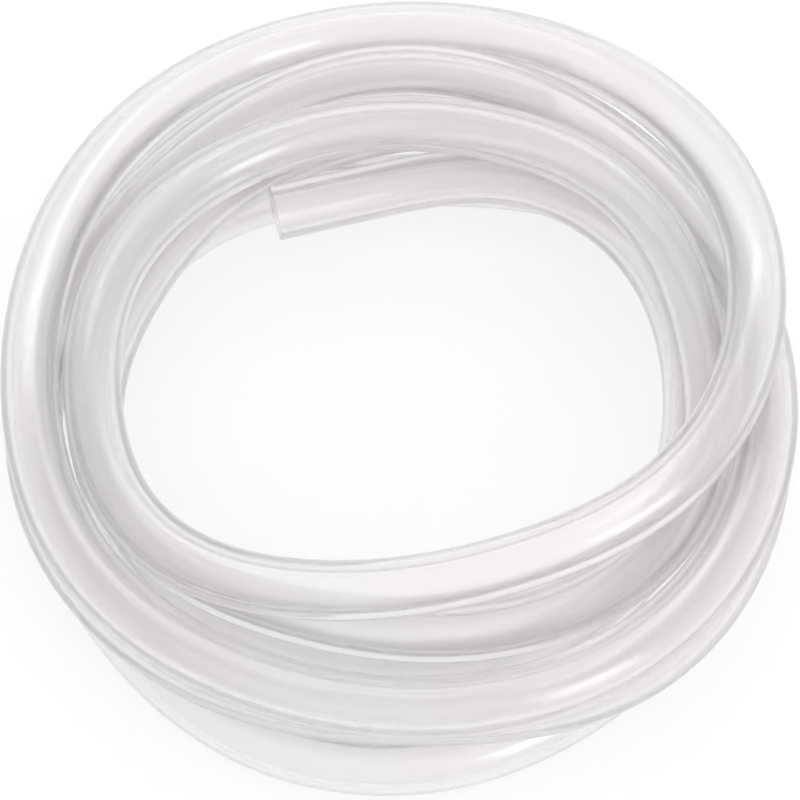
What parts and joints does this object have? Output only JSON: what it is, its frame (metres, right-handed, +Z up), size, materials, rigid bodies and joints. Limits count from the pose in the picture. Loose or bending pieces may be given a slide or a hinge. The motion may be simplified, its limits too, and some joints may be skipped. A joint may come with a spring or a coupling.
{
  "type": "silicone tubing coil",
  "caption": "Coil of soft translucent silicone laboratory tubing, wound round an open eye and lying flat, with both cut ends open.",
  "frame": {"origin": "under the middle of the coil, on the surface it lies on", "axes": "+Z up out of the coil's eye; +Y away from the viewer, towards the tucked outer end; +X to the right"},
  "size_m": [0.1412, 0.1502, 0.0399],
  "materials": {
    "silicone": "translucent, softly glossy"
  },
  "bodies": {
    "root": {"tubing": "silicone"}
  },
  "joints": []
}
